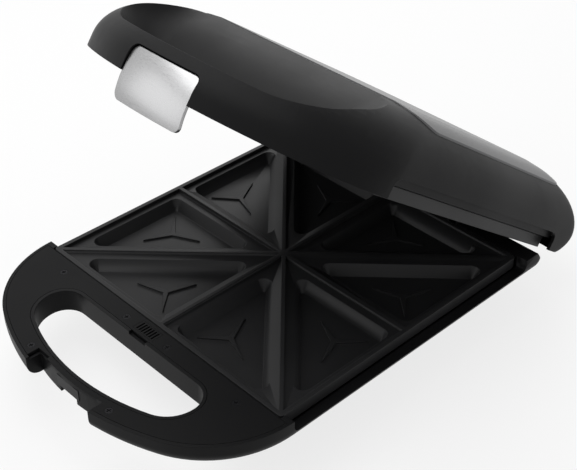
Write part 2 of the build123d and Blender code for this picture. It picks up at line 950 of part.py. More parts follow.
# Hinge brackets on the tub floor, one each side
bracket_floor = tub_floor + wall
bracket_back = housing_front + housing_wall
with BuildPart() as hinge_brackets:
    for side in (-1, 1):
        middle = side * hinge_x
        add(
            block(
                middle - ear_outer,
                middle + ear_outer,
                bracket_front,
                bracket_back,
                bracket_floor,
                bracket_floor + bracket_sheet,
            )
        )
        for start in (middle - ear_outer, middle + ear_inner):
            with BuildSketch(across(start)):
                with Locations((hinge_back, -hinge_drop)):
                    Circle(knuckle_radius)
                Polygon(
                    (bracket_back, bracket_floor),
                    (hinge_back, -hinge_drop - knuckle_radius),
                    (hinge_back, -hinge_drop + knuckle_radius),
                    (bracket_back, -hinge_drop + knuckle_radius),
                    align=None,
                )
                Polygon(
                    (bracket_front, bracket_floor),
                    (bracket_back, bracket_floor),
                    (bracket_back, -hinge_drop + knuckle_radius),
                    (bracket_front, bracket_floor + bracket_sheet),
                    align=None,
                )
                with Locations((hinge_back, -hinge_drop)):
                    Circle(pin_radius, mode=Mode.SUBTRACT)
            extrude(amount=ear_thick)
    with BuildSketch(level(bracket_floor)):
        with Locations(*bracket_screw_places):
            Circle(bracket_screw_radius)
    extrude(amount=bracket_sheet, mode=Mode.SUBTRACT)
write(hinge_brackets.part, "hinge_brackets")

bracket_screw_end = bracket_floor + bracket_sheet
bracket_screws = screw(
    bracket_screw_places,
    tub_floor,
    bracket_screw_head,
    bracket_screw_head_deep,
    bracket_screw_radius,
    bracket_screw_end,
)
write(bracket_screws, "bracket_screws")

# Hinge pins through both ears of each bracket, each with a head on its outer end
with BuildPart() as hinge_pins:
    for side in (-1, 1):
        with BuildSketch(across(side * (hinge_x - ear_outer))):
            with Locations((hinge_back, -hinge_drop)):
                Circle(pin_radius)
        extrude(amount=side * 2 * ear_outer)
        with BuildSketch(across(side * (hinge_x + ear_outer))):
            with Locations((hinge_back, -hinge_drop)):
                Circle(pin_head_radius)
        extrude(amount=side * pin_head)
write(hinge_pins.part, "hinge_pins")

with BuildPart() as hinge_washers:
    for side in (-1, 1):
        middle = side * hinge_x
        for start in (middle - ear_inner, middle + ear_inner - washer_thick):
            with BuildSketch(across(start)):
                with Locations((hinge_back, -hinge_drop)):
                    Circle(washer_radius)
                    Circle(pin_radius, mode=Mode.SUBTRACT)
            extrude(amount=washer_thick)
write(hinge_washers.part, "hinge_washers")

# Mains parts on the tub floor
block_floor = tub_floor + wall
block_screw_places = [
    (x, (block_front + block_back) / 2)
    for x in (block_left + block_high / 2, (block_left + block_right) / 2, block_right - block_high / 2)
]
with BuildPart() as terminal_block:
    add(block(block_left, block_right, block_front, block_back, block_floor, block_floor + block_high))
    with BuildSketch(level(block_floor + block_high)):
        with Locations(*block_screw_places):
            Circle(block_screw_well)
    extrude(amount=-block_high / 2, mode=Mode.SUBTRACT)
write(terminal_block.part, "terminal_block")

pin_end = plate_middle + heater_tail + heater_pin
blade_end = thermostat_end - terminal_blade


def wire(points):
    """One insulated wire: straight runs joined by round bends, from the first point to the last."""
    world = [(x, y + plate_front, z + parting_height) for x, y, z in points]
    with BuildPart() as form:
        with BuildLine() as route:
            FilletPolyline(*world, radius=wire_bend)
        with BuildSketch(Plane(origin=world[0], z_dir=route.line % 0)):
            Circle(wire_radius)
        sweep()
    return form.part


wire_left = block_screw_places[0][0]
wire_mid = block_screw_places[2][0]
base_wires = (
    (
        (wire_mid, block_back, -wire_run_drop),
        (wire_mid, wire_turn_back, -wire_run_drop),
        (wire_mid, wire_turn_back, -heater_drop),
        (wire_mid, pin_end, -heater_drop),
    ),
    (
        (wire_left, block_front, -wire_run_drop),
        (wire_left, plate_middle, -wire_run_drop),
        (-terminal_blade_x, plate_middle, -wire_run_drop),
        (-terminal_blade_x, plate_middle, blade_end),
    ),
    (
        (terminal_blade_x, plate_middle, blade_end),
        (terminal_blade_x, plate_middle, -wire_run_drop),
        (wire_right, plate_middle, -wire_run_drop),
        (wire_right, wire_turn_back, -wire_run_drop),
        (heater_tail_x, wire_turn_back, -wire_run_drop),
        (heater_tail_x, wire_turn_back, -heater_drop),
        (heater_tail_x, pin_end, -heater_drop),
    ),
)
with BuildPart() as base_wiring:
    for points in base_wires:
        add(wire(points))
write(base_wiring.part, "base_wiring")

with BuildPart() as thermal_fuse:
    with BuildSketch(facing_back(fuse_y - fuse_half)):
        with Locations((-wire_right, -wire_run_drop)):
            Circle(fuse_radius)
            Circle(wire_radius, mode=Mode.SUBTRACT)
    extrude(amount=2 * fuse_half)
write(thermal_fuse.part, "thermal_fuse")

with BuildPart() as cord_gland:
    with BuildSketch(facing_back(gland_inner)):
        with Locations((-gland_x, -gland_drop)):
            Circle(gland_radius)
            Circle(gland_bore, mode=Mode.SUBTRACT)
    extrude(amount=gland_wall)
    with BuildSketch(facing_back(gland_pad_back)):
        with Locations((-gland_x, -gland_drop)):
            Circle(gland_flange)
            Circle(gland_bore, mode=Mode.SUBTRACT)
    extrude(amount=gland_flange_thick)
write(cord_gland.part, "cord_gland")

# Upper plate stack, the lower one turned over, with a small gap between the crests
mirror_plane = level(plate_gap / 2)


def turned_over(part):
    """A lower piece mirrored across the parting plane into the lid, and then opened with it."""
    return swung(mirror(part, about=mirror_plane))


write(turned_over(lower_plate), "upper_plate")
write(turned_over(lower_heater), "upper_heater")
write(turned_over(lower_reflector), "upper_reflector")

# Lid shell
# Its outside is lofted through level outlines, from the lip up to the flat of the top.
side_z = lid_top - lid_side_round
nose_z = lid_top - lid_nose_high
back_z = lid_top - lid_back_round


def quarter(radius, rise):
    """How far a round of this radius has drawn in at a rise over its centre."""
    return radius - math.sqrt(radius**2 - rise**2)


def dome_outline(skin, height):
    """The lid's level outline at a height, grown or shrunk by a skin."""
    side_in = quarter(lid_side_round + skin, max(height - side_z, 0))
    nose_share = max(height - nose_z, 0) / (lid_nose_high + skin)
    nose_in = (lid_nose_long + skin) * (1 - math.sqrt(1 - nose_share**2))
    if height > back_z:
        back_in = quarter(lid_back_round + skin, height - back_z)
    else:
        back_in = quarter(lid_heel_round + skin, back_z - height)
    outline(
        lid_half + skin - side_in,
        lid_nose_y - skin + nose_in,
        lid_back + skin - back_in,
        lid_nose_radius + skin + lid_nose_growth_share * side_in,
        lid_bow + skin,
        lid_heel + skin + lid_heel_growth_share * back_in,
    )


def dome(skin, below):
    """The lid's outer form, grown or shrunk by a skin, and carried straight on below its lip."""
    top = lid_top + skin
    heights = [lid_lip + share * (back_z - lid_lip) for share in lid_low_shares]
    heights += [back_z + share * (top - back_z) for share in lid_high_shares]
    with BuildPart() as form:
        for height in heights:
            with BuildSketch(level(height)):
                dome_outline(skin, height)
        loft()
        if below:
            with BuildSketch(level(lid_lip)):
                dome_outline(skin, lid_lip)
            extrude(amount=-below)
    return form.part


def scoop(grow, low):
    """The finger bowl's form, or the wall round it when it is grown."""
    with BuildPart() as form:
        for rise, widen, forward, backward in scoop_level_shares:
            half = slot_half + widen * (scoop_half - slot_half)
            front = slot_front + forward * (scoop_front - slot_front)
            back = slot_back + backward * (scoop_back - slot_back)
            nose = slot_nose + widen * (scoop_nose - slot_nose)
            heel = slot_heel + backward * (scoop_heel - slot_heel)
            with BuildSketch(level(scoop_low + rise * (scoop_high - scoop_low))):
                outline(half + grow, front - grow, back + grow, nose + grow, hole_bow + grow, heel + grow)
        loft()
        with BuildSketch(level(low)):
            outline(
                slot_half + grow,
                slot_front - grow,
                slot_back + grow,
                slot_nose + grow,
                hole_bow + grow,
                slot_heel + grow,
            )
        extrude(amount=scoop_low - low)
    return form.part


def panel_column(grow, low, high):
    """An upright column with the plan of the steel panel."""
    with BuildPart() as form:
        with BuildSketch(level(low)):
            half = panel_half + grow
            back = panel_back + grow
            shoulder = (half - panel_corner, panel_corner_front - grow)
            middle = (shoulder[0] / 2, panel_front - grow + (panel_corner_front - panel_front) / 4)
            with BuildLine():
                brow = ThreePointArc((0, panel_front - grow), middle, shoulder)
                TangentArc(shoulder, (half, shoulder[1] + panel_corner), tangent=brow % 1)
                side = Line((half, shoulder[1] + panel_corner), (half, back - panel_back_corner))
                TangentArc(side @ 1, (half - panel_back_corner, back), tangent=side % 1)
                Line((half - panel_back_corner, back), (0, back))
                mirror(about=Plane.YZ)
            make_face()
        extrude(amount=high - low)
    return form.part


def latch_slab(outside, inside, half, low, high, corner):
    """A crowned plate in front of the nose, thick from one distance out of its face to one in."""
    axis_y = latch_face + latch_bow
    middle = (latch_top + latch_bottom) / 2
    turn = 2 * math.degrees(math.asin((half + overrun) / latch_bow))
    crown_centre = latch_face + latch_crown
    rim = latch_crown + outside
    core = latch_crown - inside
    with BuildPart() as slab:
        with BuildSketch(across(0)):
            with Locations((crown_centre, middle)):
                Circle(rim)
                Circle(core, mode=Mode.SUBTRACT)
            with Locations((crown_centre, middle)):
                Rectangle(
                    latch_crown + outside + overrun,
                    2 * max(high - middle, middle - low),
                    align=(Align.MAX, Align.CENTER),
                    mode=Mode.INTERSECT,
                )
        spin = Axis((0, plate_front + axis_y, 0), (0, 0, 1))
        revolve(axis=spin, revolution_arc=turn)
    spin_back = Location((0, 0, 0), (0, 0, -turn / 2))
    pivot = Location((0, plate_front + axis_y, 0))
    home = Location((0, -plate_front - axis_y, 0))
    turned = pivot * spin_back * home * slab.part
    with BuildPart() as form:
        with BuildSketch(Plane((0, plate_front, parting_height), x_dir=(1, 0, 0), z_dir=(0, -1, 0))):
            with Locations((0, (low + high) / 2)):
                RectangleRounded(2 * half, high - low, corner)
        extrude(amount=-(lid_nose_y - overrun))
        add(turned, mode=Mode.INTERSECT)
    return form.part


lid_posts = [(side * hinge_x, y) for side in (-1, 1) for y in (arm_screw_front, arm_screw_rear)]
upper_post_low = plate_gap + reflector_drop + reflector_sheet
arm_foot_top = arm_foot_height + arm_foot_thick
nose_screws_both = both_sides(nose_screw_places)
nose_cover_top = lid_lip + nose_cover_sheet
house_half = pocket_half + cheek_thick
house_back = pocket_back + wall
house_top = pocket_top + brow_thick
lid_outer = dome(0, 0)
lid_inner = dome(-wall, overrun)
scoop_cut = scoop(0, lid_lip - overrun)
scoop_wall = scoop(wall, nose_cover_top)

with BuildPart() as lid_hollow:
    add(lid_inner)
    add(scoop_wall, mode=Mode.SUBTRACT)
    for side in (-1, 1):
        inner, outer = sorted((side * rail_inner, side * lid_half))
        add(block(inner, outer, 0, plate_depth, rail_bottom, rail_top), mode=Mode.SUBTRACT)
    add(post(boss_places, boss_radius, upper_post_low, lid_top), mode=Mode.SUBTRACT)
    add(post(lid_posts, boss_radius, arm_foot_top, lid_top), mode=Mode.SUBTRACT)
    add(post(nose_screws_both, deck_post_radius, nose_cover_top, lid_top), mode=Mode.SUBTRACT)
    house = block(-house_half, house_half, lid_nose_y, house_back, lid_lip - overrun, house_top)
    add(house, mode=Mode.SUBTRACT)

screw_seat_top = (upper_post_low + lid_top) / 2
with BuildPart() as panel_seat:
    add(dome(overrun, 0))
    add(dome(-panel_sink - panel_seam / 4, 0), mode=Mode.SUBTRACT)
    add(panel_column(panel_seam, panel_base, lid_top + 2 * overrun), mode=Mode.INTERSECT)

with BuildPart() as lid_shell:
    add(lid_outer)
    add(lid_hollow.part, mode=Mode.SUBTRACT)
    add(scoop_cut, mode=Mode.SUBTRACT)
    add(panel_seat.part, mode=Mode.SUBTRACT)
    # Side windows that show the edge of the upper plate
    for side in (-1, 1):
        with BuildSketch(across(side * window_inner)):
            with BuildLine():
                FilletPolyline(
                    (window_front, lid_lip - overrun),
                    (window_front, window_top),
                    (window_back, window_top),
                    (window_back, lid_lip - overrun),
                    radius=window_round,
                )
                Line((window_back, lid_lip - overrun), (window_front, lid_lip - overrun))
            make_face()
        extrude(amount=side * wall * 2, mode=Mode.SUBTRACT)
        with BuildSketch(across(side * (rail_inner - wall))):
            with Locations(((window_front + window_back) / 2, (lid_lip - overrun + rail_bottom) / 2)):
                Rectangle(window_back - window_front - 2 * window_round, rail_bottom - lid_lip + overrun)
        extrude(amount=side * wall * 4, mode=Mode.SUBTRACT)
    # The pin's seats are cut first, while the cheeks that hold it are whole.
    with BuildSketch(across(-pocket_half - latch_pin_seat)):
        with Locations((latch_pivot_y, latch_pivot)):
            Circle(latch_pin_radius)
    extrude(amount=2 * (pocket_half + latch_pin_seat), mode=Mode.SUBTRACT)
    # The latch sits in a shallow recess, and its carrier in a pocket behind it.
    add(
        latch_slab(
            overrun * 2,
            latch_sheet + latch_sweep,
            latch_half + latch_gap,
            2 * lid_lip - latch_top - 2 * overrun,
            latch_top + latch_top_gap,
            latch_corner + latch_gap,
        ),
        mode=Mode.SUBTRACT,
    )
    add(
        block(-pocket_half, pocket_half, lid_nose_y - overrun, pocket_back, lid_lip - overrun, pocket_top),
        mode=Mode.SUBTRACT,
    )
    # Screw holes
    with BuildSketch(level(upper_post_low)):
        with Locations(*boss_places):
            Circle(plate_screw_radius)
    extrude(amount=lid_top - upper_post_low, mode=Mode.SUBTRACT)
    with BuildSketch(level(screw_seat_top)):
        with Locations(*boss_places):
            Circle(plate_screw_head + deck_seam)
    extrude(amount=lid_top - screw_seat_top, mode=Mode.SUBTRACT)
    with BuildSketch(level(arm_foot_top)):
        with Locations(*lid_posts):
            Circle(arm_screw_radius)
    extrude(amount=arm_screw_bite, mode=Mode.SUBTRACT)
    with BuildSketch(level(nose_cover_top)):
        with Locations(*nose_screws_both):
            Circle(deck_screw_radius)
    extrude(amount=deck_screw_long - nose_cover_sheet, mode=Mode.SUBTRACT)
write(swung(lid_shell.part), "lid_shell")

# Steel panel, a sheet that follows the crown of the lid
with BuildPart() as top_panel:
    add(dome(panel_stand, 0))
    add(dome(-panel_sink, 0), mode=Mode.SUBTRACT)
    add(panel_column(0, panel_base, lid_top + 2 * overrun), mode=Mode.INTERSECT)
write(swung(top_panel.part), "top_panel")

upper_plate_screws = screw(
    boss_places,
    screw_seat_top + bracket_sheet,
    plate_screw_head,
    bracket_sheet,
    plate_screw_radius,
    plate_gap + reflector_drop - plate_screw_bite,
)
write(swung(upper_plate_screws), "upper_plate_screws")

# Cover under the lid's nose
with BuildPart() as nose_cover:
    inset = wall + nose_cover_gap
    with BuildSketch(level(lid_lip)):
        dome_outline(-inset, lid_lip)
    extrude(amount=nose_cover_sheet)
    add(block(-lid_half, lid_half, nose_cover_back, lid_back, 0, lid_top), mode=Mode.SUBTRACT)
    add(scoop_cut, mode=Mode.SUBTRACT)
    house_gap = nose_cover_gap
    add(
        block(-house_half - house_gap, house_half + house_gap, lid_nose_y, house_back + house_gap, 0, lid_top),
        mode=Mode.SUBTRACT,
    )
    with Locations(*[under(lid_lip) * Location((x, -y, 0)) for x, y in nose_screws_both]):
        CounterBoreHole(
            radius=deck_screw_radius,
            counter_bore_radius=deck_screw_head + vent_seam,
            counter_bore_depth=deck_screw_head_deep,
            depth=nose_cover_sheet,
        )
write(swung(nose_cover.part), "nose_cover")

nose_cover_screws = screw(
    nose_screws_both,
    lid_lip,
    deck_screw_head,
    deck_screw_head_deep,
    deck_screw_radius,
    lid_lip + deck_screw_long,
)
write(swung(nose_cover_screws), "nose_cover_screws")

# Hinge arms: a knuckle on the pin, a bar up the back and a foot screwed to the lid's posts
with BuildPart() as hinge_arms:
    for side in (-1, 1):
        middle = side * hinge_x
        with BuildSketch(across(middle - arm_side)):
            with Locations((hinge_back, -hinge_drop)):
                Circle(knuckle_radius)
            Polygon(
                (hinge_back - knuckle_radius, -hinge_drop),
                (arm_front, tray_floor + wall),
                (arm_front, arm_foot_height),
                (arm_rear, arm_foot_height),
                (arm_rear, tray_floor + wall),
                (hinge_back + knuckle_radius, -hinge_drop),
                align=None,
            )
            with Locations((hinge_back, -hinge_drop)):
                Circle(pin_radius + pin_play, mode=Mode.SUBTRACT)
        extrude(amount=arm_thick)
        add(
            block(
                middle - arm_foot_half,
                middle + arm_foot_half,
                arm_foot_front,
                arm_foot_rear,
                arm_foot_height,
                arm_foot_top,
            )
        )
    with BuildSketch(level(arm_foot_height)):
        with Locations(*lid_posts):
            Circle(arm_screw_radius)
    extrude(amount=arm_foot_thick, mode=Mode.SUBTRACT)
write(swung(hinge_arms.part), "hinge_arms")

arm_screws = screw(
    lid_posts,
    arm_foot_height - arm_screw_head_long,
    arm_screw_head,
    arm_screw_head_long,
    arm_screw_radius,
    arm_foot_top + arm_screw_bite,
)
write(swung(arm_screws), "arm_screws")

# Wires in the lid, from the heater's tails to a clip on the roof
lid_heater = plate_gap + heater_drop
with BuildPart() as lid_wiring:
    for side in (-1, 1):
        points = (
            (side * heater_tail_x, pin_end, lid_heater),
            (side * heater_tail_x, wire_turn_back, lid_heater),
            (side * heater_tail_x, wire_turn_back, lid_wire_height),
            (side * clip_x, wire_turn_back, lid_wire_height),
        )
        add(wire(points))
write(swung(lid_wiring.part), "lid_wiring")

with BuildPart() as wire_clips:
    for side in (-1, 1):
        left, right = sorted((side * clip_x, side * (clip_x + 2 * clip_half)))
        roof = lid_top - wall - panel_seam / 2
        add(block(left, right, wire_turn_back - clip_half, wire_turn_back + clip_half, clip_low, roof))
write(swung(wire_clips.part), "wire_clips")

# Latch: a crowned steel plate with a lip, a carrier behind it, a pin and a spring
with BuildPart() as latch_plate:
    add(latch_slab(0, latch_sheet, latch_half, latch_bottom, latch_top, latch_corner))
    lip_front = latch_face + 2 * latch_sheet
    lip_back = latch_rear + hook_reach
    add(block(-hook_half, hook_half, lip_front, lip_back, latch_bottom, latch_bottom + hook_high))
write(swung(latch_plate.part), "latch_plate")

with BuildPart() as latch_carrier:
    seat = latch_sheet + carrier_gap
    add(latch_slab(-seat, seat + carrier_thick, carrier_half, carrier_low, carrier_high, carrier_gap))
    with BuildSketch(across(-carrier_half)):
        with Locations((latch_pivot_y, latch_pivot)):
            Circle(barrel_radius)
    extrude(amount=2 * carrier_half)
    add(latch_slab(overrun, seat, latch_half, latch_bottom, latch_top, latch_corner), mode=Mode.SUBTRACT)
    with BuildSketch(across(-spring_half - spring_gap)):
        with Locations((latch_pivot_y, latch_pivot)):
            Rectangle(4 * barrel_radius, 4 * barrel_radius)
    extrude(amount=2 * (spring_half + spring_gap), mode=Mode.SUBTRACT)
    with BuildSketch(across(-carrier_half)):
        with Locations((latch_pivot_y, latch_pivot)):
            Circle(latch_pin_radius + pin_play)
    extrude(amount=2 * carrier_half, mode=Mode.SUBTRACT)
write(swung(latch_carrier.part), "latch_carrier")

with BuildPart() as latch_pin:
    with BuildSketch(across(-pocket_half - latch_pin_seat)):
        with Locations((latch_pivot_y, latch_pivot)):
            Circle(latch_pin_radius)
    extrude(amount=2 * (pocket_half + latch_pin_seat))
write(swung(latch_pin.part), "latch_pin")

with BuildPart() as latch_spring:
    with BuildSketch(across(-spring_half)):
        with Locations((latch_pivot_y, latch_pivot)):
            Circle(spring_radius)
            Circle(latch_pin_radius, mode=Mode.SUBTRACT)
    extrude(amount=2 * spring_half)
write(swung(latch_spring.part), "latch_spring")
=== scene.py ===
"""Sandwich maker with pocketed plates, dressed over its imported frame. Lengths are in metres."""

import json
import math

import bmesh
import bpy
from bpy.props import FloatProperty, FloatVectorProperty, IntProperty, PointerProperty
from mathutils import Matrix, Vector


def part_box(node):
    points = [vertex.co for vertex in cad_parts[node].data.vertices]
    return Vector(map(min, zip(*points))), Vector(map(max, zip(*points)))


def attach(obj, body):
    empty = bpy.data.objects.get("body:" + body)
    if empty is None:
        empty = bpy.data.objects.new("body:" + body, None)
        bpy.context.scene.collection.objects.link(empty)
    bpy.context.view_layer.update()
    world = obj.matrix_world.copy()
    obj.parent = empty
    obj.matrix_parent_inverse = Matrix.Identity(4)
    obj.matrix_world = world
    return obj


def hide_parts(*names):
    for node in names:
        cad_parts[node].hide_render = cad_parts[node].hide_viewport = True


bl_info = {
    "name": "Sandwich maker",
    "version": (1, 0, 0),
    "blender": (4, 5, 0),
    "location": "3D View > Sidebar > Sandwich maker",
    "description": "Dresses a hinged sandwich maker's moulded, cast and steel pieces",
    "category": "Object",
}

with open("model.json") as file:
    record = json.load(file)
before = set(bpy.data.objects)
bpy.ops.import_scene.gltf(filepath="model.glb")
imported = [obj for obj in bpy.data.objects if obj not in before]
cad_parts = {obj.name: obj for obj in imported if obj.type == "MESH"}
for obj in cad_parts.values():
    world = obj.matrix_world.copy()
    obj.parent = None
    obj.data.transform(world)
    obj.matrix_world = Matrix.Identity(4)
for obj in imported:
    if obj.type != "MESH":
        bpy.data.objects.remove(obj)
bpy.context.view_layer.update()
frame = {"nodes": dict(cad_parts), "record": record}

MM = 0.001
PLATE_LOW, PLATE_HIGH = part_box("lower_plate")
PLATE_FRONT = PLATE_LOW[1]
PARTING_HEIGHT = PLATE_HIGH[2]
BODY_OF_NODE = {
    node: body for body, nodes in frame["record"]["behaviour"]["bodies"].items() for node in nodes
}
SLOT_OF_NODE = {entry["node"]: entry["material_slot"] for entry in frame["record"]["subparts"]}

# The photograph's frame, and the camera that was fitted to it
PHOTO_WIDTH = 577.0
PHOTO_HEIGHT = 470.0
PHOTO_FOCAL = 1200.5
PHOTO_CENTRE = (272.56, 226.2)
CAMERA_AZIMUTH = 46.76
CAMERA_ELEVATION = 35.75
CAMERA_ROLL = -0.33
CAMERA_OFFSET = (80.55 * MM, 69.5 * MM, 841.5 * MM)
SENSOR_WIDTH = 36.0
NEAR_CLIP = 0.01

# Lamps and floor
KEY_SIZE = (1.2, 1.0)
KEY_PLACE = (-0.35, -0.25, 1.25)
FRONT_SIZE = (0.9, 0.7)
FRONT_PLACE = (-0.75, -1.05, 0.62)
FRONT_AIM = (0, -0.1, 0.2)
BACK_SIZE = (0.8, 0.8)
BACK_PLACE = (-0.7, 0.95, 0.85)
FLOOR_REACH = 6.0
FLOOR_COLOUR = (0.85, 0.85, 0.85, 1)
FLOOR_ROUGHNESS = 0.95
WHITE = (1, 1, 1, 1)

# Meshes: the gap that is merged, and the turns at which faces are flat or an edge stays sharp
MERGE_GAP = 0.002 * MM
FLAT_TURN = math.radians(0.3)
CREASE_TURN = math.radians(28)
DOME_CREASE_TURN = math.radians(13)
WIRE_SIDES = 8

# Grain, brushed lines and weave
BEVEL_SAMPLES = 4
GRAIN_DEPTH = 0.1 * MM
BRUSH_DEPTH = 0.05 * MM
WEAVE_DEPTH = 0.15 * MM
WEAVE_SCALE = 900.0
DRIFT_SCALE = 14.0
MASK_DARKEST = 0.3
MASK_LIGHTEST = 0.7
BRUSH_VARY = 0.05
SLEEVE_DARK = (0.42, 0.4, 0.36)
SLEEVE_LIGHT = (0.68, 0.66, 0.6)
SLEEVE_ROUGHNESS = 0.85

# Finishes that no setting moves
FINISHES = {
    "rubber": dict(
        colour=(0.012, 0.012, 0.012),
        roughness=0.75,
        edge=0.5 * MM,
        grain_size=0.6 * MM,
        strength=0.2,
        Specular_IOR_Level=0.25,
    ),
    "washer_nylon": dict(
        colour=(0.6, 0.58, 0.52),
        roughness=0.5,
        edge=0.3 * MM,
        grain_size=0.6 * MM,
        strength=0.05,
    ),
    "fuse_brass": dict(
        colour=(0.6, 0.42, 0.16),
        roughness=0.35,
        edge=0.3 * MM,
        grain_size=0.6 * MM,
        strength=0.05,
        Metallic=1.0,
    ),
    "heater_steel": dict(
        colour=(0.3, 0.28, 0.26),
        roughness=0.45,
        edge=0.3 * MM,
        grain_size=0.8 * MM,
        strength=0.1,
        lift=0.7,
        Metallic=1.0,
    ),
    "reflector": dict(
        colour=(0.62, 0.62, 0.63),
        roughness=0.35,
        edge=0.2 * MM,
        grain_size=1.2 * MM,
        strength=0.05,
        Metallic=1.0,
    ),
    "screw_steel": dict(
        colour=(0.5, 0.5, 0.51),
        roughness=0.32,
        edge=0.25 * MM,
        grain_size=0.5 * MM,
        strength=0.06,
        lift=0.8,
        Metallic=1.0,
    ),
    "dark_steel": dict(
        colour=(0.014, 0.014, 0.015),
        roughness=0.45,
        edge=0.25 * MM,
        grain_size=0.5 * MM,
        strength=0.06,
        Metallic=1.0,
    ),
}

# What settings of one kind have in common
COLOUR = {"subtype": "COLOR", "size": 3, "min": 0, "max": 1}
SHARE = {"min": 0, "max": 1}
LENGTH = {"unit": "LENGTH"}
POWER = {"unit": "POWER"}


class PlasticSettings(bpy.types.PropertyGroup):
    """Finish of the moulded shells and of the covers set into them."""

    shell_colour: FloatVectorProperty(
        name="Shell colour",
        description="Colour of the outer mouldings",
        default=(0.0045, 0.0045, 0.0048),
        **COLOUR,
    )
    shell_roughness: FloatProperty(
        name="Shell roughness",
        description="Roughness of the outer mouldings",
        default=0.42,
        **SHARE,
    )
    cover_colour: FloatVectorProperty(
        name="Cover colour",
        description="Colour of the deck and nose covers",
        default=(0.0045, 0.0045, 0.0048),
        **COLOUR,
    )
    cover_roughness: FloatProperty(
        name="Cover roughness",
        description="Roughness of the deck and nose covers",
        default=0.5,
        **SHARE,
    )
    edge_radius: FloatProperty(
        name="Edge radius",
        description="How far the light catches round a moulded edge",
        default=0.6 * MM,
        **LENGTH,
    )
    grain_size: FloatProperty(
        name="Grain size",
        description="Width of one speck of the moulded grain",
        default=0.45 * MM,
        **LENGTH,
    )


class CoatingSettings(bpy.types.PropertyGroup):
    """Finish of the cooking plates."""

    colour: FloatVectorProperty(
        name="Coating colour",
        description="Colour of the non-stick coating",
        default=(0.011, 0.011, 0.0115),
        **COLOUR,
    )
    roughness: FloatProperty(
        name="Coating roughness",
        description="Roughness of the non-stick coating",
        default=0.4,
        **SHARE,
    )
    edge_radius: FloatProperty(
        name="Casting edge radius",
        description="How far the light catches round a cast edge under the coating",
        default=0.9 * MM,
        **LENGTH,
    )


class SteelSettings(bpy.types.PropertyGroup):
    """Finish of the brushed panel and latch; the panel's colour is darker than the latch's steel
    as painted shade.
    """

    # Painted shade: the panel's steel gets a far darker colour than the latch's same steel, so
    # that it shows as the less lit face
    panel_colour_with_painted_shade: FloatVectorProperty(
        name="Panel colour",
        description="Colour of the brushed panel on the lid",
        default=(0.1, 0.1, 0.102),
        **COLOUR,
    )
    latch_colour: FloatVectorProperty(
        name="Latch colour",
        description="Colour of the brushed latch plate",
        default=(0.38, 0.38, 0.384),
        **COLOUR,
    )
    brush_width: FloatProperty(
        name="Brush line width",
        description="Width of one brushed line",
        default=0.3 * MM,
        **LENGTH,
    )
    brush_length: FloatProperty(
        name="Brush line length",
        description="Length of one brushed line",
        default=24.0 * MM,
        **LENGTH,
    )


class SpringSettings(bpy.types.PropertyGroup):
    """The coil spring round the latch pin."""

    turns: FloatProperty(name="Turns", description="Turns of the coil", default=8.0)
    wire_radius: FloatProperty(
        name="Wire radius",
        description="Radius of the spring wire",
        default=0.4 * MM,
        **LENGTH,
    )
    steps: IntProperty(name="Steps", description="Points on each turn", default=20)


class StageSettings(bpy.types.PropertyGroup):
    """Floor, backdrop and lamps."""

    key_power: FloatProperty(
        name="Key power",
        description="Power of the lamp above",
        default=9.0,
        **POWER,
    )
    front_power: FloatProperty(
        name="Front power",
        description="Power of the lamp that faces the latch",
        default=2.0,
        **POWER,
    )
    back_power: FloatProperty(
        name="Back power",
        description="Power of the lamp behind the hinge",
        default=4.0,
        **POWER,
    )
    fill_level: FloatProperty(
        name="Fill level",
        description="Strength of the even light from all round",
        default=0.55,
    )
    floor_show: FloatProperty(
        name="Floor shadow share",
        description="Share of the floor's own shading that the camera sees",
        default=0.22,
        **SHARE,
    )


SETTINGS = {
    "moulding": PlasticSettings,
    "coating": CoatingSettings,
    "steel": SteelSettings,
    "spring": SpringSettings,
    "stage": StageSettings,
}


# Shader groups


def new_group(name, inputs, outputs):
    """A shader group's tree with number inputs and named outputs, its entry and its exit."""
    tree = bpy.data.node_groups.new(name, "ShaderNodeTree")
    for title, value in inputs.items():
        socket = tree.interface.new_socket(title, in_out="INPUT", socket_type="NodeSocketFloat")
        socket.default_value = value
    for title, kind in outputs.items():
        tree.interface.new_socket(title, in_out="OUTPUT", socket_type=kind)
    entry = tree.nodes.new("NodeGroupInput")
    leave = tree.nodes.new("NodeGroupOutput")
    return tree, entry, leave


def add_node(tree, kind, **values):
    """A node of this kind, with settings and plain input values."""
    node = tree.nodes.new(kind)
    for key, value in values.items():
        if key in node.inputs:
            node.inputs[key].default_value = value
        else:
            setattr(node, key, value)
    return node


def grain_group():
    """Fine moulded or sprayed grain on a softened edge: a normal and a mask that drifts slowly."""
    name = "soft_grain"
    if name in bpy.data.node_groups:
        return bpy.data.node_groups[name]
    tree, entry, leave = new_group(
        name,
        {
            "Edge radius": 0.5 * MM,
            "Grain scale": 2000.0,
            "Grain strength": 0.05,
            "Drift scale": DRIFT_SCALE,
        },
        {"Normal": "NodeSocketVector", "Drift": "NodeSocketFloat"},
    )
    place = add_node(tree, "ShaderNodeTexCoord")
    edge = add_node(tree, "ShaderNodeBevel", samples=BEVEL_SAMPLES)
    grain = add_node(tree, "ShaderNodeTexNoise", Detail=2.0, Roughness=0.6)
    drift = add_node(tree, "ShaderNodeTexNoise", Detail=3.0, Roughness=0.5)
    bump = add_node(tree, "ShaderNodeBump", Distance=GRAIN_DEPTH)
    link = tree.links.new
    link(place.outputs["Object"], grain.inputs["Vector"])
    link(place.outputs["Object"], drift.inputs["Vector"])
    link(entry.outputs["Grain scale"], grain.inputs["Scale"])
    link(entry.outputs["Drift scale"], drift.inputs["Scale"])
    link(entry.outputs["Edge radius"], edge.inputs["Radius"])
    link(entry.outputs["Grain strength"], bump.inputs["Strength"])
    link(grain.outputs["Fac"], bump.inputs["Height"])
    link(edge.outputs["Normal"], bump.inputs["Normal"])
    link(bump.outputs["Normal"], leave.inputs["Normal"])
    link(drift.outputs["Fac"], leave.inputs["Drift"])
    return tree


